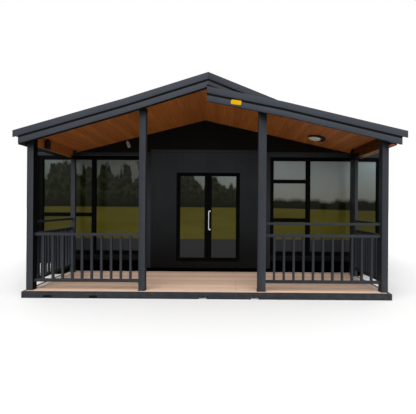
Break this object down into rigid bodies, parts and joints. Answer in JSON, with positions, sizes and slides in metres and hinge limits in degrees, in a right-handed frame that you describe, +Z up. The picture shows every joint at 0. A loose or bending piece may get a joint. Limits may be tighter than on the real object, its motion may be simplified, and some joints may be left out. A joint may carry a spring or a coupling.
{
  "type": "small prefabricated house with a gabled porch",
  "caption": "Low dark prefabricated house with tall front windows, a glazed double door and a railed timber deck under a gabled porch roof.",
  "frame": {"origin": "on the ground at the middle of the whole outline, under the house", "axes": "+Z up, +X to the right as seen from the front, +Y from the porch towards the back wall"},
  "size_m": [8.9, 7.826, 4.2694],
  "materials": {
    "steel_paint": "satin blue-grey powder coat",
    "wall_panel": "matt charcoal coated steel panel",
    "gable_panel": "matt near-black coated steel panel",
    "black_paint": "matt black",
    "window_frame": "satin black powder-coated aluminium",
    "dark_glass": "dark tinted reflective double glazing",
    "roof_sheet": "satin dark grey coated steel sheet",
    "soffit_wood": "varnished orange-brown boards",
    "deck_boards": "matt pinkish-tan boards",
    "light_trim": "satin light grey",
    "bright_metal": "satin stainless steel",
    "yellow_paint": "gloss yellow",
    "lamp_black": "matt black"
  },
  "bodies": {
    "house": {"skirt_boards": "black_paint", "support_feet": "black_paint", "floor_slab": "wall_panel", "base_beams": "steel_paint", "wall_columns": "steel_paint", "window_headers": "steel_paint", "front_wall_panels": "wall_panel", "front_wall_top": "wall_panel", "front_gable": "gable_panel", "side_wall_left": "wall_panel", "side_wall_right": "wall_panel", "back_wall": "wall_panel", "front_window_left": "window_frame", "front_window_right": "window_frame", "front_window_glass": "dark_glass", "side_window_frames": "window_frame", "side_window_glass": "dark_glass", "back_window_frames": "window_frame", "back_window_glass": "dark_glass", "door_frame": "window_frame", "main_roof_left": "roof_sheet", "main_roof_right": "roof_sheet", "ridge_cap": "roof_sheet", "deck_frame": "steel_paint", "deck_floor": "deck_boards", "deck_trims": "light_trim", "outer_posts": "steel_paint", "inner_posts": "steel_paint", "rear_posts": "steel_paint", "side_beams": "soffit_wood", "railing_front_left": "steel_paint", "railing_front_right": "steel_paint", "railing_side_left": "steel_paint", "railing_side_right": "steel_paint", "porch_roof_left": "roof_sheet", "porch_roof_right": "roof_sheet", "ridge_hood": "roof_sheet", "soffit_left": "soffit_wood", "soffit_right": "soffit_wood", "fascia_left": "steel_paint", "fascia_hood": "steel_paint", "fascia_right": "steel_paint", "yellow_plate": "yellow_paint", "ceiling_light": "lamp_black", "hanging_lamp": "lamp_black", "wall_spotlight": "light_trim"},
    "door_leaf_left": {"door_leaf_left": "window_frame", "door_glass_left": "dark_glass"},
    "door_leaf_right": {"door_leaf_right": "window_frame", "door_glass_right": "dark_glass", "door_handle": "bright_metal"}
  },
  "joints": [
    {"name": "door_left_hinge", "type": "hinge", "parent": "house", "child": "door_leaf_left", "pos_m": [-0.725, -2.099, 1.4165], "axis": [0, 0, -1], "range_deg": [0, 100]},
    {"name": "door_right_hinge", "type": "hinge", "parent": "house", "child": "door_leaf_right", "pos_m": [0.725, -2.099, 1.4165], "axis": [0, 0, 1], "range_deg": [0, 100]}
  ]
}
